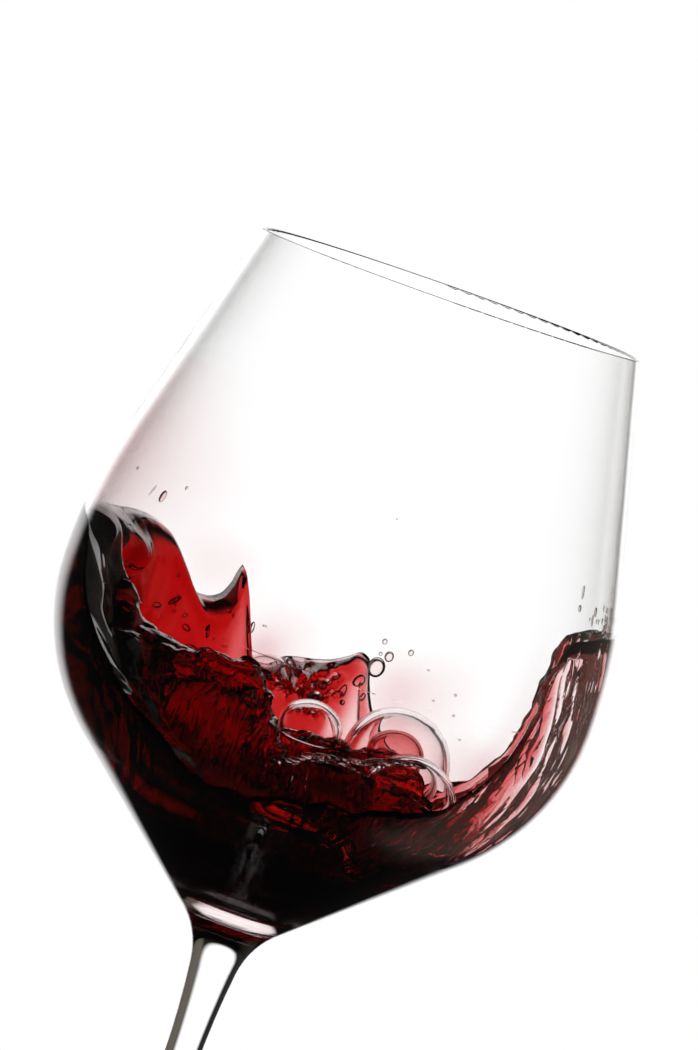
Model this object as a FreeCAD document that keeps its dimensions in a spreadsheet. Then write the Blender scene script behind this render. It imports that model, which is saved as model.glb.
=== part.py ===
"""A stemmed glass of red wine, standing upright on its foot, with the wine caught in mid swirl.

Two pieces. The glass is one blown and drawn piece: foot, stem and bowl, open at the rim. The wine is
one liquid solid. It fills the bowl from the inner wall up to a free surface that dips in the middle,
climbs the wall in a crest on one side and in a poured sheet on the other, and folds into ridges.

Frame: millimetres, +Z up the axis of the glass, origin at the middle of the foot's underside.
+X is the side that the wine runs down from where it was poured, +Y is the far side, where the free
surface stands highest, and -Y is the near side, where it stands lowest.
"""

import math
import os

import FreeCAD
import Part
import Sketcher

# Driving dimensions of the glass, in millimetres.
GLASS_DIMENSIONS = {
    # the bowl's outside, from the rim down
    "total_height": 240.0,
    "rim_radius": 38.6,
    "shoulder_round": 105.0,
    "belly_radius": 54.2,
    "belly_height": 168.7,
    "belly_round": 43.0,
    # the neck and the stem
    "neck_round": 16.0,
    "neck_height": 100.0,
    "collar_round": 170.0,
    "collar_height": 80.0,
    "stem_top_radius": 3.5,
    "stem_foot_radius": 3.3,
    "stem_foot_height": 22.5,
    # the foot
    "flare_round": 18.0,
    "foot_radius": 46.0,
    "foot_edge_round": 0.75,
    "foot_ring_inner": 37.0,
    "foot_hollow": 1.6,
    # the wall of the bowl, which thickens towards the cup's floor
    "rim_wall": 1.0,
    "lip_round": 0.4,
    "belly_wall": 1.3,
    "inner_shoulder_round": 103.0,
    "inner_belly_round": 41.2,
    "cup_floor_height": 114.4,
    "cup_floor_round": 60.0,
    "cup_floor_radius": 9.8,
    "cup_corner_round": 3.5,
    "mouth_overcut": 2.0,
}

# Driving dimensions of the wine's free surface, in millimetres and degrees. A bearing is measured
# from +X towards +Y, round the axis of the glass.
SURFACE_DIMENSIONS = {
    "pool_level": 135.0,
    "dish_rise": 6.0,
    "tilt_rise": 0.6,
    "tilt_bearing": 110.0,
    "wall_reach": 51.5,
    "sheet_softness": 1.4,
    "sampled_half_width": 60.0,
    "sample_step": 1.5,
    "air_height": 130.0,
}

# Wine that climbs the wall as a sheet: the bearing of its middle and its half width along the wall in
# degrees, how square its sides are, and the height of its top and its thickness in millimetres.
CLIMBS = {
    "crest": {"bearing": 168.5, "spread": 37.5, "square": 6.0, "top": 178.0, "thickness": 7.5},
    "shelf": {"bearing": 100.0, "spread": 25.0, "square": 8.0, "top": 158.5, "thickness": 7.0},
    "spike": {"bearing": 113.5, "spread": 4.0, "square": 2.0, "top": 172.0, "thickness": 7.0},
    "tongue": {"bearing": 79.0, "spread": 6.0, "square": 4.0, "top": 165.0, "thickness": 6.0},
    "poured": {"bearing": -3.0, "spread": 36.0, "square": 8.0, "top": 187.5, "thickness": 4.5},
    "near": {"bearing": -90.0, "spread": 52.0, "square": 6.0, "top": 146.0, "thickness": 5.0},
}

# Folds and swells that stand on the pool: place, half length, half width and height in millimetres,
# the bearing of the long side, and how square they are.
SWELLS = {
    "bank": {
        "x": -26.0, "y": -8.0, "length": 14.0, "width": 6.5, "height": 21.5, "heading": 0.0, "square": 4.0
    },
    "lens": {
        "x": 2.0, "y": 4.0, "length": 5.0, "width": 4.0, "height": 12.0, "heading": 0.0, "square": 2.5
    },
    "lip": {
        "x": 4.0, "y": -14.0, "length": 11.0, "width": 3.5, "height": 10.0, "heading": 3.0, "square": 3.0
    },
    "boil": {
        "x": 24.0, "y": -10.0, "length": 7.5, "width": 6.5, "height": 10.0, "heading": 0.0, "square": 2.5
    },
    "heart": {
        "x": 20.0, "y": 5.0, "length": 4.5, "width": 4.0, "height": 11.0, "heading": 0.0, "square": 2.5
    },
}

START, END, CENTRE = 1, 2, 3
ORIGIN_POINT, VERTICAL_AXIS = (-1, START), -2


# ---- the document and its sheet ----


def add_sheet(doc):
    """One row for each driving dimension: its name, and its value in a cell with that alias."""
    sheet = doc.addObject("Spreadsheet::Sheet", "dims")
    rows = {**GLASS_DIMENSIONS, **SURFACE_DIMENSIONS}
    for table, names in (("climb", CLIMBS), ("swell", SWELLS)):
        for name, sizes in names.items():
            rows.update({f"{table}_{name}_{size}": value for size, value in sizes.items()})
    for row, (name, value) in enumerate(rows.items(), start=1):
        sheet.set(f"A{row}", name)
        sheet.set(f"B{row}", str(value))
        sheet.setAlias(f"B{row}", name)
    doc.recompute()
    return sheet


def sizes_of(sheet, table, name, sizes):
    """The cells of one climb or swell, read back from the sheet."""
    return {size: sheet.get(f"{table}_{name}_{size}") for size in sizes}


# ---- sketching helpers ----


def upright_sketch(body, name):
    """A sketch on the body's own XZ plane, where X is the radius and Y is the height."""
    sketch = body.newObject("Sketcher::SketchObject", name)
    plane = next(f for f in body.Origin.OriginFeatures if f.Role == "XZ_Plane")
    sketch.AttachmentSupport = (plane, "")
    sketch.MapMode = "FlatFace"
    return sketch


def add_line(sketch, start, end):
    segment = Part.LineSegment(FreeCAD.Vector(*start, 0), FreeCAD.Vector(*end, 0))
    return sketch.addGeometry(segment, False)


def add_arc(sketch, centre, radius, start_degrees, end_degrees):
    """An arc that runs anticlockwise from one angle to the other."""
    circle = Part.Circle(FreeCAD.Vector(*centre, 0), FreeCAD.Vector(0, 0, 1), radius)
    arc = Part.ArcOfCircle(circle, math.radians(start_degrees), math.radians(end_degrees))
    return sketch.addGeometry(arc, False)


def join(sketch, first, first_end, second, second_end, smooth=True):
    kind = "Tangent" if smooth else "Coincident"
    sketch.addConstraint(Sketcher.Constraint(kind, first, first_end, second, second_end))


def bind(sketch, constraint, cell, times=""):
    """Adds a dimension and ties it to a cell of the sheet."""
    index = sketch.addConstraint(constraint)
    name = f"{cell}_{index}"
    sketch.renameConstraint(index, name)
    sketch.setExpression(f"Constraints.{name}", f"dims.{cell}{times}")


def bind_radius(sketch, arc, cell, radius):
    bind(sketch, Sketcher.Constraint("Radius", arc, radius), cell)


def bind_point(sketch, piece, end, r=None, z=None):
    """Ties a point's radius or height, each given as (cell, starting value)."""
    for kind, size in (("DistanceX", r), ("DistanceY", z)):
        if size:
            cell, value = size
            bind(sketch, Sketcher.Constraint(kind, *ORIGIN_POINT, piece, end, value), cell)


# ---- the glass ----


def draw_foot(sketch, d):
    """The underside, the resting ring, the edge, the top and the flare up to the stem."""
    edge = d["foot_edge_round"]
    hollow_round = (d["foot_ring_inner"] ** 2 + d["foot_hollow"] ** 2) / (2 * d["foot_hollow"])
    hollow_turn = math.degrees(math.asin(d["foot_ring_inner"] / hollow_round))
    hollow = add_arc(
        sketch, (0, d["foot_hollow"] - hollow_round), hollow_round, 90 - hollow_turn, 90
    )
    ring = add_line(sketch, (d["foot_ring_inner"], 0), (d["foot_radius"] - edge, 0))
    rim = add_arc(sketch, (d["foot_radius"] - edge, edge), edge, -90, 83)
    top = add_line(
        sketch, (d["foot_radius"] - edge, 2 * edge), (d["flare_round"], d["foot_edge_round"] * 6)
    )
    flare_centre = (d["stem_foot_radius"] + d["flare_round"], d["stem_foot_height"])
    flare = add_arc(sketch, flare_centre, d["flare_round"], 180, 263)
    sketch.addConstraint(Sketcher.Constraint("PointOnObject", hollow, CENTRE, VERTICAL_AXIS))
    sketch.addConstraint(Sketcher.Constraint("PointOnObject", hollow, END, VERTICAL_AXIS))
    bind_point(sketch, hollow, END, z=("foot_hollow", d["foot_hollow"]))
    join(sketch, hollow, START, ring, START, smooth=False)
    bind_point(sketch, ring, START, r=("foot_ring_inner", d["foot_ring_inner"]))
    sketch.addConstraint(Sketcher.Constraint("PointOnObject", ring, START, -1))
    sketch.addConstraint(Sketcher.Constraint("Horizontal", ring))
    join(sketch, ring, END, rim, START)
    bind_radius(sketch, rim, "foot_edge_round", edge)
    index = Sketcher.Constraint("DistanceX", *ORIGIN_POINT, rim, CENTRE, d["foot_radius"] - edge)
    bind(sketch, index, "foot_radius", " - dims.foot_edge_round")
    join(sketch, rim, END, top, START)
    join(sketch, top, END, flare, END)
    bind_radius(sketch, flare, "flare_round", d["flare_round"])
    return hollow, flare


def draw_stem(sketch, d, flare):
    """The straight stem, its collar and the hollow curve of the neck."""
    stem = add_line(
        sketch,
        (d["stem_foot_radius"], d["stem_foot_height"]),
        (d["stem_top_radius"], d["collar_height"]),
    )
    collar_centre = (d["stem_top_radius"] + d["collar_round"], d["collar_height"])
    collar = add_arc(sketch, collar_centre, d["collar_round"], 173, 180)
    neck_centre = (d["stem_top_radius"] + 1.2 + d["neck_round"], d["neck_height"])
    neck = add_arc(sketch, neck_centre, d["neck_round"], 132, 173)
    join(sketch, flare, START, stem, START)
    bind_point(
        sketch,
        stem,
        START,
        r=("stem_foot_radius", d["stem_foot_radius"]),
        z=("stem_foot_height", d["stem_foot_height"]),
    )
    bind_point(
        sketch,
        stem,
        END,
        r=("stem_top_radius", d["stem_top_radius"]),
        z=("collar_height", d["collar_height"]),
    )
    join(sketch, stem, END, collar, END)
    bind_radius(sketch, collar, "collar_round", d["collar_round"])
    bind_point(sketch, collar, START, z=("neck_height", d["neck_height"]))
    join(sketch, collar, START, neck, END)
    bind_radius(sketch, neck, "neck_round", d["neck_round"])
    return neck


def draw_bowl_outside(sketch, d, neck):
    """The sloping lower wall, the belly, the shoulder and the straight run up to the rim."""
    belly_centre = (d["belly_radius"] - d["belly_round"], d["belly_height"])
    belly = add_arc(sketch, belly_centre, d["belly_round"], -48, 0)
    wall = add_line(sketch, (10.0, 109.0), (40.0, 137.0))
    shoulder_centre = (d["belly_radius"] - d["shoulder_round"], d["belly_height"])
    shoulder = add_arc(sketch, shoulder_centre, d["shoulder_round"], 0, 17)
    side = add_line(
        sketch, (49.0, d["belly_height"] + 31.0), (d["rim_radius"], d["total_height"])
    )
    join(sketch, neck, START, wall, START)
    join(sketch, wall, END, belly, START)
    bind_radius(sketch, belly, "belly_round", d["belly_round"])
    bind_point(
        sketch,
        belly,
        END,
        r=("belly_radius", d["belly_radius"]),
        z=("belly_height", d["belly_height"]),
    )
    join(sketch, belly, END, shoulder, START)
    bind(
        sketch,
        Sketcher.Constraint("DistanceY", *ORIGIN_POINT, shoulder, CENTRE, d["belly_height"]),
        "belly_height",
    )
    bind_radius(sketch, shoulder, "shoulder_round", d["shoulder_round"])
    join(sketch, shoulder, END, side, START)
    bind_point(
        sketch,
        side,
        END,
        r=("rim_radius", d["rim_radius"]),
        z=("total_height", d["total_height"]),
    )
    return side


def close_on_axis(sketch, top_piece, top_end, bottom_piece, bottom_end, radius, height, floor):
    """Closes an outline across its top and back down the axis."""
    lid = add_line(sketch, (radius, height), (0, height))
    axis = add_line(sketch, (0, height), (0, floor))
    join(sketch, top_piece, top_end, lid, START, smooth=False)
    sketch.addConstraint(Sketcher.Constraint("Horizontal", lid))
    join(sketch, lid, END, axis, START, smooth=False)
    sketch.addConstraint(Sketcher.Constraint("PointOnObject", axis, START, VERTICAL_AXIS))
    join(sketch, axis, END, bottom_piece, bottom_end, smooth=False)


def draw_cavity(sketch, d):
    """The inside of the bowl: the cup's floor, the wall, and a short overcut above the mouth."""
    inner_belly = d["belly_radius"] - d["belly_wall"]
    inner_rim = d["rim_radius"] - d["rim_wall"]
    floor_centre = (0, d["cup_floor_height"] + d["cup_floor_round"])
    floor_turn = math.degrees(math.asin(d["cup_floor_radius"] / d["cup_floor_round"])) - 90
    floor = add_arc(sketch, floor_centre, d["cup_floor_round"], -90, floor_turn)
    corner_centre = (0.9 * d["cup_floor_radius"], d["cup_floor_height"] + d["cup_corner_round"] + 0.6)
    corner = add_arc(sketch, corner_centre, d["cup_corner_round"], floor_turn, -48)
    wall = add_line(sketch, (13.0, 115.0), (38.0, 137.5))
    belly_centre = (inner_belly - d["inner_belly_round"], d["belly_height"])
    belly = add_arc(sketch, belly_centre, d["inner_belly_round"], -48, 0)
    shoulder_centre = (inner_belly - d["inner_shoulder_round"], d["belly_height"])
    shoulder = add_arc(sketch, shoulder_centre, d["inner_shoulder_round"], 0, 17)
    side = add_line(sketch, (48.0, d["belly_height"] + 31.0), (inner_rim, d["total_height"]))
    overcut = add_line(
        sketch,
        (inner_rim, d["total_height"]),
        (inner_rim, d["total_height"] + d["mouth_overcut"]),
    )
    sketch.addConstraint(Sketcher.Constraint("PointOnObject", floor, CENTRE, VERTICAL_AXIS))
    sketch.addConstraint(Sketcher.Constraint("PointOnObject", floor, START, VERTICAL_AXIS))
    bind_radius(sketch, floor, "cup_floor_round", d["cup_floor_round"])
    bind_point(sketch, floor, START, z=("cup_floor_height", d["cup_floor_height"]))
    join(sketch, floor, END, corner, START)
    bind_point(sketch, corner, START, r=("cup_floor_radius", d["cup_floor_radius"]))
    bind_radius(sketch, corner, "cup_corner_round", d["cup_corner_round"])
    join(sketch, corner, END, wall, START)
    join(sketch, wall, END, belly, START)
    bind_radius(sketch, belly, "inner_belly_round", d["inner_belly_round"])
    belly_reach = Sketcher.Constraint("DistanceX", *ORIGIN_POINT, belly, END, inner_belly)
    bind(sketch, belly_reach, "belly_radius", " - dims.belly_wall")
    bind_point(sketch, belly, END, z=("belly_height", d["belly_height"]))
    join(sketch, belly, END, shoulder, START)
    bind(
        sketch,
        Sketcher.Constraint("DistanceY", *ORIGIN_POINT, shoulder, CENTRE, d["belly_height"]),
        "belly_height",
    )
    bind_radius(sketch, shoulder, "inner_shoulder_round", d["inner_shoulder_round"])
    join(sketch, shoulder, END, side, START)
    rim_reach = Sketcher.Constraint("DistanceX", *ORIGIN_POINT, side, END, inner_rim)
    bind(sketch, rim_reach, "rim_radius", " - dims.rim_wall")
    bind_point(sketch, side, END, z=("total_height", d["total_height"]))
    join(sketch, side, END, overcut, START, smooth=False)
    sketch.addConstraint(Sketcher.Constraint("Vertical", overcut))
    top = d["total_height"] + d["mouth_overcut"]
    bind(
        sketch,
        Sketcher.Constraint("DistanceY", *ORIGIN_POINT, overcut, END, top),
        "total_height",
        " + dims.mouth_overcut",
    )
    close_on_axis(
        sketch, overcut, END, floor, START, inner_rim, top, d["cup_floor_height"]
    )


def turn(body, kind, name, sketch):
    """Revolves a sketch, or grooves with it, all round the axis of the glass."""
    feature = body.newObject(f"PartDesign::{kind}", name)
    feature.Profile = sketch
    feature.ReferenceAxis = (sketch, ["V_Axis"])
    feature.Angle = 360.0
    sketch.Visibility = False
    return feature


def edges_at_rim(shape, d):
    """The two circles round the flat top of the wall, before it is rounded."""
    names = []
    for number, edge in enumerate(shape.Edges, start=1):
        box = edge.BoundBox
        flat = abs(box.ZMax - d["total_height"]) < 1e-6 and abs(box.ZMin - d["total_height"]) < 1e-6
        if flat and box.XLength > d["rim_radius"]:
            names.append(f"Edge{number}")
    return names


def make_glass(doc, d):
    """Foot, stem and bowl as one turned solid, hollowed by a groove and rounded at the lip."""
    body = doc.addObject("PartDesign::Body", "glass_body")
    body.Label = "glass"
    outline = upright_sketch(body, "glass_outline")
    hollow, flare = draw_foot(outline, d)
    neck = draw_stem(outline, d, flare)
    side = draw_bowl_outside(outline, d, neck)
    close_on_axis(
        outline, side, END, hollow, END, d["rim_radius"], d["total_height"], d["foot_hollow"]
    )
    turn(body, "Revolution", "glass_blank", outline)
    doc.recompute()
    blank_volume = body.Shape.Volume
    cavity = upright_sketch(body, "bowl_cavity")
    draw_cavity(cavity, d)
    turn(body, "Groove", "bowl_hollow", cavity)
    doc.recompute()
    if body.Shape.Volume >= 0.5 * blank_volume:
        raise RuntimeError("the groove did not hollow the bowl")
    lip = body.newObject("PartDesign::Fillet", "lip")
    lip.Base = (doc.getObject("bowl_hollow"), edges_at_rim(body.Shape, d))
    lip.Radius = d["lip_round"]
    lip.setExpression("Radius", "dims.lip_round")
    doc.recompute()
    return body


# ---- the wine ----


def wall_height(d, radius):
    """Height of the bowl's inner wall, below its widest place, at a radius."""
    belly = d["inner_belly_round"]
    off_centre = radius - (d["belly_radius"] - d["belly_wall"] - belly)
    return d["belly_height"] - math.sqrt(max(belly**2 - off_centre**2, 0.0))


def swirl_height(d, s, climbs, swells, x, y):
    """Height of the free surface over a point of the bowl's plan."""
    radius, bearing = math.hypot(x, y), math.atan2(y, x)
    reach = min(radius / s["wall_reach"], 1.1)
    tilt = math.cos(bearing - math.radians(s["tilt_bearing"]))
    height = s["pool_level"] + s["dish_rise"] * reach**2 + s["tilt_rise"] * reach * tilt
    for climb in climbs:
        off = math.degrees(math.remainder(bearing - math.radians(climb["bearing"]), 2 * math.pi))
        along = math.exp(-0.5 * abs(off / climb["spread"]) ** climb["square"])
        outward = radius + climb["thickness"]
        upright = 1 / (1 + math.exp((s["wall_reach"] - outward) / s["sheet_softness"]))
        lower = min(wall_height(d, min(outward, s["wall_reach"])), climb["top"])
        sheet = (1 - upright) * lower + upright * climb["top"]
        height += along * max(sheet - height, 0.0)
    for swell in swells:
        heading = math.radians(swell["heading"])
        dx, dy = x - swell["x"], y - swell["y"]
        along = abs(dx * math.cos(heading) + dy * math.sin(heading)) / swell["length"]
        across = abs(dy * math.cos(heading) - dx * math.sin(heading)) / swell["width"]
        square = swell["square"]
        height += swell["height"] * math.exp(-0.5 * (along**square + across**square))
    return height


def free_surface(d, s, climbs, swells):
    """A smooth spline surface through heights sampled on a square grid over the bowl."""
    steps = round(s["sampled_half_width"] / s["sample_step"])
    marks = [s["sample_step"] * i for i in range(-steps, steps + 1)]
    rows = [
        [FreeCAD.Vector(x, y, swirl_height(d, s, climbs, swells, x, y)) for y in marks] for x in marks
    ]
    surface = Part.BSplineSurface()
    surface.interpolate(rows)
    return surface


def make_wine(doc, d, s, sheet):
    """The bowl's inside, filled to the rim, less the air over the free surface."""
    fill = doc.addObject("PartDesign::Body", "full_bowl")
    cavity = upright_sketch(fill, "full_bowl_cavity")
    draw_cavity(cavity, d)
    turn(fill, "Revolution", "full_bowl_turned", cavity)
    climbs = [sizes_of(sheet, "climb", name, sizes) for name, sizes in CLIMBS.items()]
    swells = [sizes_of(sheet, "swell", name, sizes) for name, sizes in SWELLS.items()]
    air = doc.addObject("Part::Feature", "air_over_wine")
    surface = free_surface(d, s, climbs, swells)
    air.Shape = surface.toShape().extrude(FreeCAD.Vector(0, 0, s["air_height"]))
    wine = doc.addObject("Part::Cut", "wine_cut")
    wine.Label = "wine"
    wine.Base = fill
    wine.Tool = air
    doc.recompute()
    return wine


# ---- checks and files ----


def check_document(doc):
    failed = [o.Name for o in doc.Objects if {"Invalid", "Error"} & set(o.State)]
    if failed:
        raise RuntimeError(f"these objects failed: {failed}")
    for sketch in doc.findObjects("Sketcher::SketchObject"):
        if sketch.solve() != 0 or not sketch.FullyConstrained:
            raise RuntimeError(f"{sketch.Name} is not fully constrained")


def write_part(piece):
    shape = piece.Shape
    if shape.isNull() or not shape.isValid() or len(shape.Solids) != 1:
        raise RuntimeError(f"{piece.Label} is not one valid solid")
    shape.exportStep(os.path.join("parts", f"{piece.Label}.step"))
    box = shape.BoundBox
    print(
        f"{piece.Label}: {shape.Volume / 1000:.1f} ml, "
        f"{box.XLength:.1f} x {box.YLength:.1f} x {box.ZLength:.1f} mm, "
        f"z {box.ZMin:.1f} to {box.ZMax:.1f}, {len(shape.Faces)} faces"
    )


def main():
    doc = FreeCAD.newDocument("glass_of_wine")
    sheet = add_sheet(doc)
    d = {name: sheet.get(name) for name in GLASS_DIMENSIONS}
    s = {name: sheet.get(name) for name in SURFACE_DIMENSIONS}
    pieces = [make_glass(doc, d), make_wine(doc, d, s, sheet)]
    check_document(doc)
    os.makedirs("parts", exist_ok=True)
    for piece in pieces:
        write_part(piece)


main()
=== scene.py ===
# %% [markdown]
# A stemmed glass of red wine, dressed and lit. The CAD frame already holds the glass and a plain
# solid of wine at their true size, so this notebook adds what the eye looks for: clear crystal, wine
# that goes from black to bright red with its thickness, bubbles, drops, and the film on the wall.

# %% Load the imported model
import math
import random

import bmesh
import bpy
import numpy as np
from mathutils import Matrix, Vector, noise
from mathutils.bvhtree import BVHTree


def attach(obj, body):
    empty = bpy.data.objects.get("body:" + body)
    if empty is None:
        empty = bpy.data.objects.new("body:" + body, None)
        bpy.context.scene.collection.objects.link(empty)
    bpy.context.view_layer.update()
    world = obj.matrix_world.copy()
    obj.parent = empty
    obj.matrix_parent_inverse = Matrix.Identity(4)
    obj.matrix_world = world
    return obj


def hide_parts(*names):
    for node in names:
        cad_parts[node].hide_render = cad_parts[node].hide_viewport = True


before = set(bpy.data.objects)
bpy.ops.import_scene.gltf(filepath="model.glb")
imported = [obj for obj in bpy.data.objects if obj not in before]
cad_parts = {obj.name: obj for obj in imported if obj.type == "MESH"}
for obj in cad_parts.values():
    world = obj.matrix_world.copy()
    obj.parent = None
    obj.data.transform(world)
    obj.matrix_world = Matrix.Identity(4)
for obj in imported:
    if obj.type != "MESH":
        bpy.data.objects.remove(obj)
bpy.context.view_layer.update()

MM = 0.001
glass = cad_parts["glass"]
scene = bpy.context.scene

# %% [markdown]
# A colour picker gives sRGB values, but a shader works in linear light, so one function turns the
# first into the second. Another adds a shader node with its settings and links in one call.


# %% Colour and node helpers
def colour(hex_code):
    """A linear colour with alpha from an sRGB hex code such as "7f1020"."""
    parts = [int(hex_code[i : i + 2], 16) / 255 for i in (0, 2, 4)]
    linear = [c / 12.92 if c <= 0.04045 else ((c + 0.055) / 1.055) ** 2.4 for c in parts]
    return (*linear, 1.0)


def add_node(material, kind, settings=None, **inputs):
    """Adds a node. An input is a value, or the output socket of another node."""
    node = material.node_tree.nodes.new(kind)
    for name, value in (settings or {}).items():
        setattr(node, name, value)
    for name, value in inputs.items():
        socket = node.inputs[name.replace("_", " ")]
        if isinstance(value, bpy.types.NodeSocket):
            material.node_tree.links.new(value, socket)
        else:
            socket.default_value = value
    return node


def new_material(name):
    """A material with an empty node tree; its output is added afterwards."""
    material = bpy.data.materials.new(name)
    material.use_nodes = True
    material.node_tree.nodes.clear()
    return material


# %% [markdown]
# Crystal is clear glass, blown and fire polished, so its skin is perfectly smooth and only its edges
# show: they bend the light of the room into thin grey lines. A Principled shader with full
# transmission and the IOR of crystal does just that.

# %% Crystal
crystal = new_material("crystal_blown")
crystal_skin = add_node(
    crystal,
    "ShaderNodeBsdfPrincipled",
    Base_Color=colour("ffffff"),
    Roughness=0.0,
    IOR=1.5,
    Transmission_Weight=1.0,
)
add_node(crystal, "ShaderNodeOutputMaterial", Surface=crystal_skin.outputs["BSDF"])
glass.data.materials[0] = crystal
print("crystal on", glass.name)

# %% [markdown]
# Red wine swallows green and blue within a few millimetres and red only over centimetres. A thin
# film is pink, a finger of it is bright red, and the full bowl is black. Volume absorption makes all
# three from one material: what is lost for each metre is (1 - colour) x density.

# %% Red wine
RED_LOSS, GREEN_LOSS, BLUE_LOSS = 100.0, 650.0, 640.0


def wine_material(name, strength):
    """Wine that absorbs by thickness, strength times as deep as the wine in the bowl."""
    material = new_material(name)
    skin = add_node(
        material,
        "ShaderNodeBsdfPrincipled",
        Base_Color=colour("ffffff"),
        Roughness=0.0,
        IOR=1.34,
        Transmission_Weight=1.0,
    )
    density = strength * GREEN_LOSS
    depth = add_node(
        material,
        "ShaderNodeVolumeAbsorption",
        Color=(1 - RED_LOSS / GREEN_LOSS, 0.0, 1 - BLUE_LOSS / GREEN_LOSS, 1.0),
        Density=density,
    )
    add_node(
        material,
        "ShaderNodeOutputMaterial",
        Surface=skin.outputs["BSDF"],
        Volume=depth.outputs["Volume"],
    )
    return material


red_wine = wine_material("red_wine", 1.0)
print("wine absorbs", RED_LOSS, GREEN_LOSS, BLUE_LOSS, "per metre")

# %% [markdown]
# The wine has to reach the wall all over, or an air gap would show as a silver skin. So the bowl's
# inner profile is measured from the glass itself, with rays shot outwards from the axis.

# %% Measure the bowl's inside
WALL_BITE = 0.12  # mm that the wine reaches into the wall
PROFILE_STEPS, FLOOR_STEPS = 260, 26  # heights measured, and how many of them crowd near the floor
# along this line no ray meets an edge between two faces of the glass
OUTWARDS = Vector((0.9998, 0.02, 0)).normalized()
DOWNWARDS = Vector((0, 0, -1))


def inner_profile():
    """(radius, height) of the bowl's inner wall in mm, from the cup's floor to the rim."""
    tree = BVHTree.FromObject(glass, bpy.context.evaluated_depsgraph_get())
    rim = max(corner[2] for corner in glass.bound_box) / MM
    inside_bowl = Vector((0, 0, (rim - 40.0) * MM))
    floor = tree.ray_cast(inside_bowl, DOWNWARDS)[0].z / MM
    depth = rim - 1.0 - floor
    crowded = (FLOOR_STEPS / PROFILE_STEPS) ** 2
    profile = [(0.0, floor)]
    for i in range(1, PROFILE_STEPS + 1):
        share = (i / PROFILE_STEPS) ** 2
        if i >= FLOOR_STEPS:
            share = crowded + (1 - crowded) * (i - FLOOR_STEPS) / (PROFILE_STEPS - FLOOR_STEPS)
        height = floor + depth * share
        hit = tree.ray_cast(Vector((0, 0, height * MM)), OUTWARDS)[0]
        profile.append((math.hypot(hit.x, hit.y) / MM, height))
    return profile


wall_radii, wall_heights = np.array(inner_profile()).T
# the way along the wall from the middle of the cup's floor, in mm
wall_way = np.concatenate([[0], np.cumsum(np.hypot(np.diff(wall_radii), np.diff(wall_heights)))])
print("cup floor at", round(wall_heights[0], 2), "mm; widest", round(wall_radii.max(), 2), "mm")

# %% [markdown]
# The wine is thrown up the left wall and folds over itself in the middle, and it runs down the
# right wall from where it was poured. The middle is a shallow dish with folds standing on it. Each
# fold is a line of points like the ridge of a tent, and its cross section is a steep, rounded arch,
# because a fold of liquid is held tight by its own skin. Sizes are in millimetres, and bearings in
# degrees from +X towards +Y.

# %% The pool and its folds
POOL = {"level": 136.0, "dish": 5.0, "tilt": 0.5, "tilt_bearing": 110.0, "reach": 45.0}
# each point of a fold: x, y, height of its top, half width
FOLDS = {
    "bank": [
        (-33.6, -9.5, 160.0, 9.0), (-27, -9.5, 159.0, 9.0), (-24, -9.5, 158.0, 9.0),
        (-19, -10, 160.0, 9.0), (-13.8, -10, 160.6, 8.0), (-10, -10, 157.0, 6.0),
        (-6.5, -10, 151.5, 5.0), (-3, -10, 146.5, 4.0), (1, -10, 140.0, 3.0),
    ],
    "bank_left": [
        (-54, -4, 157.0, 22.0), (-43, -6, 158.0, 20.0), (-37, -8, 159.8, 14.0), (-33, -9, 158.0, 8.0),
    ],
    "near_left": [
        (-46, -6, 168.0, 13.0), (-42, -17, 160.0, 13.0), (-36, -26, 152.0, 13.0),
        (-28, -34, 146.0, 12.0), (-17, -40, 140.0, 12.0),
    ],
    "eye": [
        (-6, 6, 144.0, 3.5), (-2, 5, 147.0, 4.5), (3, 5, 148.0, 5.0), (9, 5, 149.5, 4.5),
        (14, 4, 148.0, 4.5),
    ],
    "lip": [
        (-4, -13, 141.5, 2.0), (-1, -13.5, 144.5, 2.5), (4, -14, 147.0, 3.0), (9, -14.5, 148.2, 3.0),
        (16, -14, 149.8, 3.5),
    ],
    "boil": [(19, -12, 147.0, 4.0), (24, -12, 149.0, 5.0), (29, -10, 146.5, 4.0)],
    "heart": [(14, 5, 149.5, 4.0), (19, 5, 151.5, 5.0), (24, 5, 150.5, 4.5), (28, 4, 146.0, 4.0)],
}
# a round hollow at the near right of the pool: x, y, depth, radius
HOLLOW_X, HOLLOW_Y, HOLLOW_DEPTH, HOLLOW_RADIUS = 31.0, -27.0, 11.0, 11.0


def ripple(x, y, z, size, depth=2):
    """Smooth noise between about -1 and 1 with bumps of a given size in mm."""
    return np.array(
        [
            noise.fractal(Vector(point) / size, 1.0, 2.0, depth, noise_basis="PERLIN_ORIGINAL")
            for point in zip(x, y, z)
        ]
    )


def fold_height(x, y, base):
    """The highest of the folds over each point, standing on a base height."""
    height = base.copy()
    for points in FOLDS.values():
        for (ax, ay, a_top, a_half), (bx, by, b_top, b_half) in zip(points, points[1:]):
            length = (bx - ax) ** 2 + (by - ay) ** 2
            t = np.clip(((x - ax) * (bx - ax) + (y - ay) * (by - ay)) / length, 0, 1)
            off = np.hypot(x - ax - t * (bx - ax), y - ay - t * (by - ay))
            top = a_top + t * (b_top - a_top)
            half = a_half + t * (b_half - a_half)
            arch = np.clip(1 - (off / half) ** 4, 0, 1) ** 0.6
            height = np.maximum(height, base + (top - base) * arch)
    return height


def pool_height(x, y):
    """Height in mm of the pool over points of the bowl's plan, without its fine ripples."""
    reach = np.hypot(x, y) / POOL["reach"]
    tilt = np.cos(np.arctan2(y, x) - math.radians(POOL["tilt_bearing"]))
    dish = POOL["level"] + POOL["dish"] * reach**2 + POOL["tilt"] * reach * tilt
    off = np.hypot(x - HOLLOW_X, y - HOLLOW_Y) / HOLLOW_RADIUS
    return fold_height(x, y, dish - HOLLOW_DEPTH * np.exp(-0.5 * off**3))


print("folds:", len(FOLDS))
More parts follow.
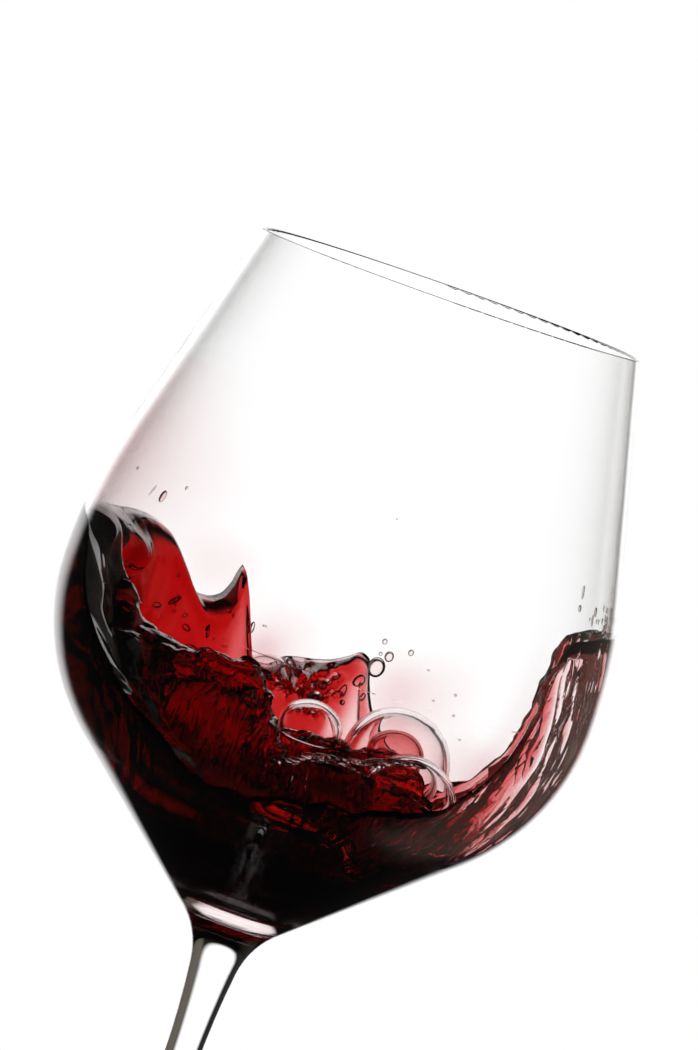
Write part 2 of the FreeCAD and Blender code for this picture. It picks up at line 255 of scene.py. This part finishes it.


# %% [markdown]
# On the wall the wine is a sheet, so it is given by the line of its top edge and by its thickness
# round the bowl. A few listed places are enough: each is a bearing, the height of the edge and
# the sheet's thickness, and a smooth curve runs through them.

# %% The sheets on the wall
SHEET = [
    (-180, 179.0, 8.0), (-171, 178.3, 7.5), (-164, 177.5, 7.0), (-158, 175.0, 6.0),
    (-152, 168.0, 5.5), (-146, 162.4, 5.0), (-136, 155.5, 4.5), (-125, 149.0, 4.0),
    (-114, 143.5, 3.5), (-102, 141.0, 3.2), (-92, 143.0, 3.0), (-81, 145.4, 3.0),
    (-70, 147.0, 3.0), (-60, 148.5, 3.0), (-53, 150.5, 3.0), (-48, 155.5, 3.0),
    (-43, 164.5, 3.0), (-39, 173.0, 3.0), (-36.5, 184.0, 2.8), (-32, 187.3, 2.2),
    (-20, 188.0, 1.9), (0, 188.0, 3.4), (13, 186.8, 1.9), (24, 184.2, 2.2),
    (28.5, 182.0, 2.6), (30.8, 172.8, 2.8), (33, 158.5, 3.0), (36, 148.0, 3.0),
    (42, 144.5, 3.0), (55, 144.0, 2.5), (62, 145.0, 1.8), (68, 147.5, 0.8), (73, 150.5, 0.4),
    (77, 156.0, 0.6), (79.5, 161.0, 1.8), (81.5, 161.6, 4.5), (84, 160.0, 6.5), (88, 158.0, 7.0),
    (92, 157.0, 7.0), (98, 155.8, 7.0), (102, 153.5, 6.0), (105, 153.4, 5.0),
    (107.6, 157.3, 3.8), (110.4, 164.3, 3.6), (113, 169.4, 4.5), (114.6, 171.2, 5.5),
    (115.6, 167.0, 6.5), (117.5, 163.9, 7.5), (120.5, 162.9, 8.0), (124, 163.2, 8.0),
    (129, 166.7, 8.0), (135, 172.2, 8.0), (139.5, 175.3, 8.0), (147, 177.0, 8.0),
    (160, 177.6, 8.0), (180, 179.0, 8.0),
]
marks = np.array(SHEET, float)
EDGE, THICKNESS = 1, 2


def through(bearings, column):
    """A smooth curve through one column of the sheet's places, at bearings in degrees. It never
    overshoots a place, because its slope there is the harmonic mean of the slopes on both sides."""
    x, y = marks[:, 0], marks[:, column]
    chord = np.diff(y) / np.diff(x)
    turns = chord[1:] * chord[:-1] <= 0
    mean = 2 * chord[1:] * chord[:-1] / (chord[1:] + chord[:-1] + 1e-9)
    slope = np.concatenate([[0], np.where(turns, 0, mean), [0]])
    k = np.clip(np.searchsorted(x, bearings, side="right") - 1, 0, len(x) - 2)
    width = x[k + 1] - x[k]
    t = (bearings - x[k]) / width
    start = (2 * t**3 - 3 * t**2 + 1) * y[k] + (t**3 - 2 * t**2 + t) * width * slope[k]
    return start + (3 * t**2 - 2 * t**3) * y[k + 1] + (t**3 - t**2) * width * slope[k + 1]


print("places along the sheets' edge:", len(marks))


# %% [markdown]
# A lathe makes the body: one profile line from the middle of the pool to the wall, up the inside of
# the sheet, and back down the wall to the cup's floor, spun right round. It is spun as a plain blank,
# with an attribute that keeps each point's number along the line, because that number says later
# whether the point belongs to the pool, to the sheet or to the wall.

# %% Spin the wine's body
TURN_STEPS = 640
POOL_RINGS, SHEET_RINGS, WALL_RINGS = 64, 44, 46


def pick(piece):
    """Selects one piece alone and makes it active."""
    bpy.ops.object.select_all(action="DESELECT")
    piece.select_set(True)
    bpy.context.view_layer.objects.active = piece


def spun(name, points, steps):
    """A line of (radius, height) points spun right round the axis. Each point keeps its number."""
    line = bpy.data.meshes.new(name)
    edges = [(i, i + 1) for i in range(len(points) - 1)]
    line.from_pydata([(radius, 0, height) for radius, height in points], edges, [])
    line.attributes.new("run", "FLOAT", "POINT").data.foreach_set("value", range(len(points)))
    piece = bpy.data.objects.new(name, line)
    scene.collection.objects.link(piece)
    pick(piece)
    lathe = piece.modifiers.new("lathe", "SCREW")
    lathe.steps = lathe.render_steps = steps
    lathe.use_merge_vertices = True
    lathe.merge_threshold = 1e-5
    bpy.ops.object.modifier_apply(modifier=lathe.name)
    bpy.ops.object.mode_set(mode="EDIT")
    bpy.ops.mesh.select_all(action="SELECT")
    bpy.ops.mesh.remove_doubles(threshold=1e-5)
    bpy.ops.mesh.normals_make_consistent(inside=False)
    if bmesh.from_edit_mesh(piece.data).calc_volume(signed=True) < 0:
        bpy.ops.mesh.flip_normals()
    bpy.ops.object.mode_set(mode="OBJECT")
    return piece


# the blank is a disc, a low rim and a cone under them; no point of the cone may fall on the disc
BLANK_RADIUS, BLANK_RIM, BLANK_DEPTH = 50.0, 10.0, 40.0
blank = [(BLANK_RADIUS * i / POOL_RINGS, 0.0) for i in range(POOL_RINGS + 1)]
blank += [(BLANK_RADIUS, BLANK_RIM * i / SHEET_RINGS) for i in range(1, SHEET_RINGS + 1)]
blank += [
    (BLANK_RADIUS * (1 - i / WALL_RINGS), BLANK_RIM - BLANK_DEPTH * i / WALL_RINGS)
    for i in range(1, WALL_RINGS + 1)
]
wine = spun("wine_body", blank, TURN_STEPS)
print("blank:", len(wine.data.vertices), "points")


# %% [markdown]
# Now every point of the blank is moved to its place, as a sculptor pulls clay. A mesh can be shaped
# like this because NumPy moves all the points at once. Two curves do most of the work: a smooth bump
# raises something about a middle value, and a smooth step switches it on from a value upwards.

# %% Helpers that pull points
def positions(piece):
    """A piece's points as an array of rows (x, y, z)."""
    flat = np.empty(3 * len(piece.data.vertices))
    piece.data.vertices.foreach_get("co", flat)
    return flat.reshape(-1, 3)


def place(piece, points):
    """Moves a piece's points to new places given in mm."""
    piece.data.vertices.foreach_set("co", (np.asarray(points) * MM).ravel())
    piece.data.update()


def wall_at(height):
    """The inner wall's radius in mm at heights in mm."""
    return np.interp(height, wall_heights, wall_radii)


def bump(value, middle, half, power=2):
    """1 at a middle value, falling off on both sides; a higher power gives a flatter top."""
    return np.exp(-0.5 * ((value - middle) / half) ** power)


def past(value, start, soft):
    """A smooth step from 0 to 1 as a value rises past a start."""
    return 1 / (1 + np.exp((start - value) / soft))


# %% [markdown]
# A sheet of moving wine is never even. Where it was poured, it runs down in ropes with almost bare
# glass between them. The crest has a thick rounded lip, which the eye reads as a black line, and the
# shelf on the far wall is braided. Each of these is one bump or step on the thickness, with noise for
# what is irregular, because that keeps the sheet one smooth surface.

# %% How thick the sheets are
BELLY = 52.0  # mm, the wall's radius where the sheets are, to turn a bearing into a length


def flow_depth(degrees, height, edge, thick):
    """The wine that runs down the right wall: long streaks with almost bare glass between them."""
    arc = np.radians(degrees) * BELLY
    flat = 0 * arc
    sway = 1.2 * ripple(arc / 3, height / 2, 5 + flat, 6.0)
    streaks = ripple(arc + 0.12 * height + sway, height / 8.0, flat, 2.2, 4)
    patches = ripple(arc, height / 2.5, 21 + flat, 7.0)
    rope = np.clip(0.05 + 0.35 * patches + 1.9 * streaks, 0, 1.2) ** 1.7
    # the streaks run together low down and along the top
    low = np.clip((163 - height) / 22, 0, 1) + bump(edge - height, 0, 4)
    sides = bump(degrees, 29.5, 1.5) + bump(degrees, -40, 2.5)
    outermost = bump(degrees, -2, 8, 4)
    return -0.08 + thick * ((0.8 + 0.6 * low) * rope + 0.8 * sides + 0.9 * outermost + 0.3 * low)


def sheet_depth(degrees, height, edge, foot, climbed):
    """Thickness of the sheets in mm. climbed goes from 0 at a sheet's foot to 1 at its edge."""
    arc = np.radians(degrees) * BELLY
    flat = 0 * arc
    below = edge - height
    thick = np.maximum(through(degrees, THICKNESS), 0.3)
    # where the poured wine runs, the left wall, the crest, and the low rise along the near wall
    flow = past(degrees, -76, 3) * past(-degrees, -38, 2)
    left = past(np.abs(degrees), 152, 3)
    crest = past(degrees, 136, 4)
    near = past(-degrees, 43, 3) * (degrees > -170)
    # slow waves, which die away towards the edge
    waves = ripple(arc, height, 3 + flat, 11.0, 2) * np.clip(below / 9, 0.15, 1)
    depth = thick * (1 + (0.14 + 0.3 * left) * waves * (1 - flow))
    depth = depth * (1 - flow) + flow_depth(degrees, height, edge, thick) * flow
    # a thick rounded lip under the edge, and a lobe that hangs from the left end of the crest
    lip = bump(below, 2.6 + 2.4 * crest, 1.7 + 1.1 * crest) * (degrees > 60)
    lobe = bump(degrees, 160, 4.5) * bump(below, 11, 6, 4)
    depth = depth + (3.0 - 0.8 * crest) * lip * np.clip((edge - foot) / 14, 0, 1) + 5.0 * lobe
    # the shelf on the far wall is braided
    knots = ripple(arc, height * 1.3, 9 + flat, 3.2, 2)
    braid = bump(degrees, 93, 9, 4) * bump(height, 153.5, 3.5, 4)
    depth = depth * (1 + braid * (0.2 + 2.0 * knots))
    # a rounded edge, drawn out thin on the near wall, and a fillet where the sheet leaves the pool
    rounded = (1 - near) * (1 - climbed**6) ** 0.5 + near * (1 - climbed**2)
    depth = np.maximum(depth, 0.12 - 0.2 * flow) * rounded
    return depth + 2.5 * np.exp(-(height - foot) / 2.5) * (1 - climbed)


# %% [markdown]
# With the heights and the thickness known, each point has one place. A point of the pool keeps its
# share of the way out from the axis, a point of the sheet is set in from the wall by the thickness
# there, and a point of the wall lies just inside the glass, so that no air is left between.

# %% Pull the wine to shape
# more of the spin's steps go to the side of the bowl that has the finest folds
CROWD, CROWD_SIDE = 0.35, math.radians(60)


def sculpt_wine(piece):
    """Moves each point of the spun blank to the pool, to the sheet's inner face or to the wall."""
    start = positions(piece)
    run = np.empty(len(start))
    piece.data.attributes["run"].data.foreach_get("value", run)
    run = np.round(run)
    turn = np.arctan2(start[:, 1], start[:, 0])
    bearing = turn - CROWD * np.sin(turn - CROWD_SIDE) - CROWD * math.sin(CROWD_SIDE)
    bearing = (bearing + math.pi) % (2 * math.pi) - math.pi
    degrees = np.degrees(bearing)
    cos, sin = np.cos(bearing), np.sin(bearing)
    # where the pool would meet the wall, found step by step, and where the sheet ends
    foot = np.full(len(start), 140.0)
    for _ in range(12):
        radius = wall_at(foot)
        foot = 0.5 * foot + 0.5 * pool_height(radius * cos, radius * sin)
    edge = np.maximum(through(degrees, EDGE), foot + 0.6)
    rag = ripple(cos * BELLY, sin * BELLY, 0 * cos, 7.0)
    edge = edge + 0.25 * rag * np.clip((edge - foot) / 10, 0, 1)
    edge = edge + 1.8 * rag * (degrees < -48) * (degrees > -135)
    # the inner face of the sheet
    climbed = np.clip((run - POOL_RINGS) / SHEET_RINGS, 0, 1)
    height = foot + (edge - foot) * climbed
    depth = sheet_depth(degrees, height, edge, foot, climbed)
    sheet_radius = wall_at(height) - depth + WALL_BITE * climbed**8
    # the pool, out to where the sheet starts, with its chop and with wrinkled folds
    thick = np.maximum(through(degrees, THICKNESS), 0.3)
    share = np.clip(run / POOL_RINGS, 0, 1)
    pool_radius = share * (wall_at(foot) - thick - 2.5)
    px, py = pool_radius * cos, pool_radius * sin
    pool = pool_height(px, py)
    pool = pool + 1.7 * ripple(px, py * 1.6, 0 * px, 6.0, 4) * np.clip(1.2 - share, 0, 1)
    wrinkle = np.clip(1.1 - share, 0, 0.5) * 2 * np.clip((pool - 138) / 3, 0, 1)
    px = px + 1.1 * wrinkle * ripple(px * 0.4, py, pool * 1.6, 3.0, 3)
    py = py + 2.2 * wrinkle * ripple(px * 0.35, py + 40, pool * 1.7, 3.0, 3)
    pool = pool * (1 - share**10) + foot * share**10
    # down the wall to the cup's floor, with the rings closer together near the floor
    sunk = np.clip((run - POOL_RINGS - SHEET_RINGS) / WALL_RINGS, 0, 1)
    way = np.interp(edge, wall_heights, wall_way) * (1 - sunk) ** 1.6
    down = np.interp(way, wall_way, wall_heights) - WALL_BITE * sunk
    wall_radius = (np.interp(way, wall_way, wall_radii) + WALL_BITE) * (sunk < 1)
    on_pool, on_wall = run <= POOL_RINGS, run > POOL_RINGS + SHEET_RINGS
    radius = np.where(on_wall, wall_radius, sheet_radius)
    z = np.where(on_pool, pool, np.where(on_wall, down, height))
    x, y = np.where(on_pool, px, radius * cos), np.where(on_pool, py, radius * sin)
    place(piece, np.column_stack([x, y, z]))


sculpt_wine(wine)
pick(wine)
bpy.ops.object.shade_smooth()
wine.data.materials.append(red_wine)
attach(wine, "root")
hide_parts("wine")
print("wine:", len(wine.data.polygons), "faces")

# %% [markdown]
# Air is trapped as the wine folds. Inside the wine a bubble is a hole, so light that leaves the
# wine bends the other way round: its index is one over that of wine. That is why small bubbles show
# as dark rings. One ball is modelled, and each bubble is a squashed copy of it.

# %% Air bubbles inside the sheets
bubble_air = new_material("air_in_wine")
air_skin = add_node(
    bubble_air, "ShaderNodeBsdfGlass", Color=(1, 1, 1, 1), Roughness=0.0, IOR=1 / 1.34
)
add_node(bubble_air, "ShaderNodeOutputMaterial", Surface=air_skin.outputs["BSDF"])


def ball(name, segments=20, rings=12):
    """A ball of radius 1 m at the origin, to be copied small."""
    bpy.ops.object.select_all(action="DESELECT")
    bpy.ops.mesh.primitive_uv_sphere_add(segments=segments, ring_count=rings, radius=1.0)
    piece = bpy.context.object
    piece.name = name
    bpy.ops.object.shade_smooth()
    return piece


def copies(pattern, name, moves, material):
    """One piece made of copies of a pattern, each moved by its own matrix in metres."""
    made = []
    for move in moves:
        piece = bpy.data.objects.new(name, pattern.data.copy())
        scene.collection.objects.link(piece)
        piece.data.transform(move)
        made.append(piece)
    bpy.ops.object.select_all(action="DESELECT")
    for piece in made:
        piece.select_set(True)
    bpy.context.view_layer.objects.active = made[0]
    if len(made) > 1:
        bpy.ops.object.join()
    joined = bpy.context.object
    joined.name = name
    joined.data.materials.clear()
    joined.data.materials.append(material)
    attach(joined, "root")
    return joined


def on_wall(degrees, height, inward, across, up, deep, turn=0.0):
    """Moves a unit ball to the wall at a bearing and height in mm, flat against the wall."""
    bearing = math.radians(degrees)
    slope = math.atan2(float(wall_at(height + 1) - wall_at(height - 1)), 2.0)
    radius = float(wall_at(height)) - inward
    spot = Vector((radius * math.cos(bearing), radius * math.sin(bearing), height)) * MM
    lie = Matrix.Rotation(bearing, 4, "Z") @ Matrix.Rotation(slope, 4, "Y")
    spin = Matrix.Rotation(math.radians(turn), 4, "X")
    sized = Matrix.Diagonal((deep * MM, across * MM, up * MM, 1))
    return Matrix.Translation(spot) @ lie @ spin @ sized


unit_ball = ball("unit_ball")
dice = random.Random(7)
moves = []
SMALL_BUBBLES = 60
while len(moves) < SMALL_BUBBLES:
    size = 0.2 + 0.45 * dice.random() ** 3
    degrees, height = dice.uniform(106, 160), dice.uniform(144, 173)
    if height < float(through(np.array([degrees]), EDGE)[0]) - 3:
        stretch, turn = dice.uniform(0.8, 2.2), dice.uniform(-60, 60)
        inward = dice.uniform(1.5, 5.5)
        moves.append(on_wall(degrees, height, inward, size * stretch, size, size * 0.8, turn))
# the larger oval ones, one by one: bearing, height, half width, half height, turn
for degrees, height, across, tall, turn in [
    (79.3, 156.4, 1.2, 1.5, 35), (82.4, 153.2, 0.9, 1.6, 10), (76.7, 153.5, 0.6, 1.1, 10),
    (81.2, 150.9, 0.7, 0.6, 0), (85.0, 151.5, 0.4, 0.4, 0), (108.5, 159.6, 0.5, 1.3, 0),
    (121.0, 156.5, 0.4, 1.7, 5), (125.0, 152.0, 1.3, 0.6, 15), (133.0, 160.5, 1.9, 0.5, -35),
]:
    moves.append(on_wall(degrees, height, 2.6, across, tall, 0.9, turn))
copies(unit_ball, "sheet_bubbles", moves, bubble_air)
print("bubbles in the sheets:", len(moves))

# %% [markdown]
# Larger bubbles stand on the surface as domes of thin film. A ball is cut off flat below the surface
# and given a thin skin. Most skins are too thin to have colour, so they show by their rims alone. The
# inner dome's skin is thicker wine, so its rim is red.

# %% Domes of film on the pool
film_skin = new_material("bubble_skin")
film_gloss = add_node(
    film_skin,
    "ShaderNodeBsdfPrincipled",
    Base_Color=colour("fff4f4"),
    Roughness=0.0,
    IOR=1.33,
    Transmission_Weight=1.0,
)
add_node(film_skin, "ShaderNodeOutputMaterial", Surface=film_gloss.outputs["BSDF"])


def dome(name, x, y, z, radius, skin, cut, tall, material):
    """A round bubble of a given skin thickness, cut off flat at a height, all in mm."""
    piece = ball(name, 72, 40)
    piece.data.transform(
        Matrix.Translation(Vector((x, y, z)) * MM)
        @ Matrix.Diagonal((radius * MM, radius * MM, radius * tall * MM, 1))
    )
    bpy.ops.object.mode_set(mode="EDIT")
    bpy.ops.mesh.select_all(action="SELECT")
    bpy.ops.mesh.bisect(plane_co=(0, 0, cut * MM), plane_no=(0, 0, 1), clear_inner=True)
    bpy.ops.object.mode_set(mode="OBJECT")
    thicken = piece.modifiers.new("skin", "SOLIDIFY")
    thicken.thickness = skin * MM
    thicken.offset = -1.0
    bpy.ops.object.modifier_apply(modifier=thicken.name)
    piece.data.materials.append(material)
    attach(piece, "root")
    return piece


# name: x, y, z, radius, skin, cut height, tallness, finish
DOMES = {
    "dome_back": (20.4, 6, 149.1, 10.9, 1.3, 143.0, 1.0, film_skin),
    "dome_inner": (19.8, 1, 151.2, 5.6, 0.9, 147.0, 0.85, red_wine),
    "dome_front": (24.4, -11, 144.6, 9.9, 1.2, 141.0, 0.98, film_skin),
    "dome_eye": (2.4, 4, 150.4, 6.4, 0.9, 147.5, 0.85, film_skin),
    "dome_left": (-9.5, 46.5, 151.0, 5.6, 0.35, 149.0, 0.85, film_skin),
}
for name, sizes in DOMES.items():
    dome(name, *sizes)
print("domes:", len(DOMES))

# small bubbles that cling to the wall over the tongue: bearing, height, radius
BEADS = [
    (77.1, 159.9, 1.9), (75.2, 162.9, 1.0), (77.3, 162.8, 0.4), (77.4, 165.5, 0.55),
    (70.7, 165.3, 0.6),
]
beads = [on_wall(degrees, height, 0.2, r, r * 1.15, r * 0.75) for degrees, height, r in BEADS]
copies(unit_ball, "wall_bubbles", beads, film_skin)

# %% [markdown]
# Froth gathers along the top of the front fold, where the surface breaks. It is a chain of small
# flattened bubbles along a line of joints, each at a random place between two joints.

# %% Froth on the lip
# the chain's joints: x, y, height
CHAIN = [
    (-3, -14.2, 143.4), (4, -15, 148.0), (9, -15.4, 149.2), (15.5, -15.5, 150.6), (19, -16, 152.6),
    (24.4, -16, 153.6),
]
BUBBLES_PER_LINK = 12
froth = []
for a, b in zip(CHAIN, CHAIN[1:]):
    for step in range(BUBBLES_PER_LINK):
        t = (step + dice.random()) / BUBBLES_PER_LINK
        size = 0.35 + 0.55 * dice.random() ** 2
        spot = Vector(a).lerp(Vector(b), t) + Vector((0, dice.uniform(-1, 1), 0))
        stretch = Matrix.Diagonal((size * 2.4 * MM, size * MM, size * 0.8 * MM, 1))
        froth.append(Matrix.Translation(spot * MM) @ stretch)
copies(unit_ball, "lip_froth", froth, film_skin)
print("bubbles in the froth:", len(froth))

# %% [markdown]
# Drops that were thrown up cling to the wall. Each is a flat lens of wine, so thin that it has lost
# its red, with a dark rim where its edge bends the light away.

# %% Drops on the wall
thin_wine = wine_material("wine_drop", 0.6)
# bearing, height, half width, half height, turn
drops = [
    (143.0, 180.9, 0.9, 1.35, 12), (147.4, 181.8, 0.2, 1.4, 25), (136.8, 183.6, 0.35, 0.35, 0),
    (158.4, 185.9, 0.35, 0.35, 0), (129.4, 167.4, 0.7, 0.7, 0), (104.8, 160.3, 0.5, 0.25, 0),
    (65.3, 163.3, 0.3, 0.2, 0), (56.4, 160.8, 0.35, 0.3, 0), (54.3, 156.9, 0.3, 0.3, 0),
    (49.2, 152.9, 0.25, 0.25, 0), (61.0, 158.0, 0.3, 0.2, 0), (84.0, 190.0, 0.2, 0.2, 0),
]
moves = [on_wall(d, h, 0.0, w, t, 0.35 * w + 0.12, turn) for d, h, w, t, turn in drops]
SPRAY = 26  # small drops along the top of the poured sheet
for _ in range(SPRAY):
    size = 0.3 + 0.55 * dice.random() ** 2
    side = dice.choice((-1, 1)) * dice.uniform(3, 26)
    height, tall = dice.uniform(187, 193), size * dice.uniform(1, 2)
    moves.append(on_wall(side, height, 0.0, size * 0.7, tall, 0.5 * size))
copies(unit_ball, "wall_drops", moves, thin_wine)
bpy.data.objects.remove(unit_ball)
print("drops on the wall:", len(moves))

# %% [markdown]
# Where wine has been, a film of it still runs down the wall: too thin to bend light, but thick enough
# to tint it. The film is a strip lathed along the inside of the wall. How strong its pink is at each
# point is kept in an attribute on the mesh, and the material reads that.

# %% The film on the wall
FILM_FROM, FILM_TO, FILM_STEPS = 142, 213, 360  # heights in mm, and steps round the bowl
FILM_GAP = 0.03  # mm between the film and the wall
film_heights = [1.0 * height for height in range(FILM_FROM, FILM_TO + 1)]
film = spun("wine_film", [(float(wall_at(h)) - FILM_GAP, h) for h in film_heights], FILM_STEPS)
place(film, positions(film))  # it was spun in mm, and this brings it to metres
spots = positions(film) / MM
film_bearing = np.degrees(np.arctan2(spots[:, 1], spots[:, 0]))
# bearing, height, half width in degrees, half height in mm, strength
FILM = [
    (178, 190, 28, 15, 0.12), (-165, 192, 25, 12, 0.10), (140, 182, 16, 9, 0.06),
    (120, 169, 8, 5, 0.14), (100, 158, 7, 6, 0.16), (104, 154, 4, 4, 0.30),
    (66, 156, 9, 7, 0.16), (71, 156, 5, 5, 0.16), (58, 160, 7, 8, 0.05),
    (40, 148, 9, 5, 0.25), (36, 158, 4, 12, 0.10),
]
tint = np.zeros(len(spots))
for bearing, height, wide, tall, strength in FILM:
    off = np.abs((film_bearing - bearing + 180) % 360 - 180) / wide
    rise = np.abs(spots[:, 2] - height) / tall
    tint += strength * np.exp(-0.5 * off**2.5 - 0.5 * rise**2.5)
film.data.attributes.new("tint", "FLOAT", "POINT").data.foreach_set("value", np.clip(tint, 0, 1))
print("film:", len(spots), "points")

# %% [markdown]
# A film this thin has no inside to speak of, so it needs no volume: a Transparent shader whose colour
# goes from white to pink with the attribute tints what is seen through it and nothing else.

# %% The film's finish
pink = new_material("wine_film")
amount = add_node(pink, "ShaderNodeAttribute", {"attribute_name": "tint"})
shade = add_node(pink, "ShaderNodeMix", {"data_type": "RGBA"})
shade.inputs[6].default_value = (1, 1, 1, 1)
shade.inputs[7].default_value = colour("c83a48")
pink.node_tree.links.new(amount.outputs["Fac"], shade.inputs[0])
see_through = add_node(pink, "ShaderNodeBsdfTransparent", Color=shade.outputs[2])
add_node(pink, "ShaderNodeOutputMaterial", Surface=see_through.outputs["BSDF"])
film.data.materials.append(pink)
pick(film)
bpy.ops.object.shade_smooth()
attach(film, "root")
print("film strongest tint:", round(float(tint.max()), 2))

# %% [markdown]
# The glass stands on a pale paper floor. The floor would show in the bowl as a grey patch that hides
# the depth of the wine, so reflected and refracted rays don't see it.

# %% The floor
FLOOR_RADIUS = 0.22
bpy.ops.object.select_all(action="DESELECT")
bpy.ops.mesh.primitive_circle_add(
    vertices=128, radius=FLOOR_RADIUS, fill_type="NGON", location=(0, 0, 0)
)
floor = bpy.context.object
floor.name = "floor"
paper = new_material("paper_floor")
paper_skin = add_node(
    paper, "ShaderNodeBsdfPrincipled", Base_Color=colour("f4f3f1"), Roughness=0.9
)
add_node(paper, "ShaderNodeOutputMaterial", Surface=paper_skin.outputs["BSDF"])
floor.data.materials.append(paper)
floor.visible_glossy = False
floor.visible_transmission = False
print("floor radius:", FLOOR_RADIUS, "m")

# %% [markdown]
# Glass is lit by what is round it, so the room is drawn by nodes, in the world. Three helpers keep
# that short: one for arithmetic, one for a soft ramp from one value to another, and one for light of
# a given colour and strength.

# %% Helpers for the room
room = bpy.data.worlds.new("white_room")
room.use_nodes = True
room.node_tree.nodes.clear()
scene.world = room


def sum_node(operation, *values):
    """The result of a Math node in the room. Each value is a number or another node's output."""
    node = add_node(room, "ShaderNodeMath", {"operation": operation})
    for socket, value in zip(node.inputs, values):
        if isinstance(value, bpy.types.NodeSocket):
            room.node_tree.links.new(value, socket)
        else:
            socket.default_value = value
    return node.outputs[0]


def ramp(value, start, end, low, high, kind="SMOOTHSTEP"):
    """Goes from low to high as a value goes from start to end."""
    node = add_node(
        room,
        "ShaderNodeMapRange",
        {"interpolation_type": kind},
        Value=value,
        From_Min=start,
        From_Max=end,
        To_Min=low,
        To_Max=high,
    )
    return node.outputs["Result"]


def glow(code, strength):
    """Light of a colour and strength from all of the room."""
    node = add_node(room, "ShaderNodeBackground", Color=colour(code), Strength=strength)
    return node.outputs["Background"]


# %% [markdown]
# The studio is a bright field: a glowing panel behind the glass with dark walls at its sides. The
# panel shines through the wine, and the dark sides draw black lines where a curved edge bends the
# view away. A direction's X, Y and Z say where a ray goes, a smooth ramp on them gives the panel its
# soft edge, and the Light Path node lets the camera itself, and the floor, see plain white.

# %% The light of the room
PANEL, DARK, SIDE_WALL = 1.22, 0.012, 0.13  # strengths of the light
PANEL_LEAN = -0.10  # the panel stands a little to the left
where = add_node(room, "ShaderNodeTexCoord")
way = add_node(room, "ShaderNodeSeparateXYZ", Vector=where.outputs["Generated"])
seen = add_node(room, "ShaderNodeLightPath")
to_right, to_back, to_top = way.outputs["X"], way.outputs["Y"], way.outputs["Z"]
# the panel behind the glass, which fades out overhead
behind = ramp(sum_node("MULTIPLY_ADD", to_right, PANEL_LEAN, to_back), 0.83, 0.93, DARK, PANEL)
panel = sum_node("MULTIPLY", behind, ramp(to_top, 0.45, 0.7, 1.0, 0.1))
# looking straight through from behind or from above, the glass has white beyond it as well
in_front = ramp(to_back, -0.1, -0.35, 0.0, 1.0, "LINEAR")
underneath = ramp(to_top, -0.6, -0.8, 0.0, 1.0, "LINEAR")
unreflected = sum_node("LESS_THAN", seen.outputs["Glossy Depth"], 0.5)
beyond = sum_node("MULTIPLY", sum_node("MAXIMUM", in_front, underneath), unreflected)
# a dim warm wall at the right, which colours one edge of the stem
warm = sum_node(
    "MULTIPLY", ramp(to_right, 0.35, 0.5, 0.0, SIDE_WALL), ramp(to_back, 0.0, 0.3, 0.0, 1.0)
)
studio = add_node(room, "ShaderNodeAddShader")
room.node_tree.links.new(glow("ffffff", sum_node("MAXIMUM", panel, beyond)), studio.inputs[0])
room.node_tree.links.new(glow("fff0dc", warm), studio.inputs[1])
all_white = sum_node("MAXIMUM", seen.outputs["Is Camera Ray"], seen.outputs["Is Diffuse Ray"])
choice = add_node(room, "ShaderNodeMixShader", Fac=all_white)
room.node_tree.links.new(studio.outputs["Shader"], choice.inputs[1])
room.node_tree.links.new(glow("ffffff", 1.0), choice.inputs[2])
add_node(room, "ShaderNodeOutputWorld", Surface=choice.outputs["Shader"])
print("nodes in the room:", len(room.node_tree.nodes))

# %% [markdown]
# The camera looks a little down at the bowl from in front, through a long lens so that the rim stays
# flat. It leans to one side, which makes the upright glass lean in the view. Clear things laid one
# behind another need many bounces, or they turn black where light runs out.

# %% The camera
LOOK_AT = Vector((-0.0037, 0.0, 0.191))
DISTANCE, SHOWN_HEIGHT, SENSOR = 0.78, 0.2039, 36.0
LOOK_DOWN, ROLL = math.radians(5.7), math.radians(19.46)
forward = Vector((0, math.cos(LOOK_DOWN), -math.sin(LOOK_DOWN)))
level = Vector((1, 0, 0))
above = level.cross(forward)
right = level * math.cos(ROLL) + above * math.sin(ROLL)
up = above * math.cos(ROLL) - level * math.sin(ROLL)
camera_data = bpy.data.cameras.new("camera")
camera_data.sensor_fit = "VERTICAL"
camera_data.sensor_height = SENSOR
camera_data.lens = SENSOR * DISTANCE / SHOWN_HEIGHT  # so that SHOWN_HEIGHT fills the view at LOOK_AT
camera = bpy.data.objects.new("camera", camera_data)
scene.collection.objects.link(camera)
placed = Matrix((right, up, -forward)).transposed().to_4x4()
placed.translation = LOOK_AT - forward * DISTANCE
camera.matrix_world = placed
scene.camera = camera
scene.view_settings.view_transform = "Standard"
CLEAR_BOUNCES, GLOSSY_BOUNCES = 32, 8
scene.cycles.max_bounces = CLEAR_BOUNCES
scene.cycles.transmission_bounces = CLEAR_BOUNCES
scene.cycles.glossy_bounces = GLOSSY_BOUNCES
print("lens:", round(camera_data.lens, 1), "mm")
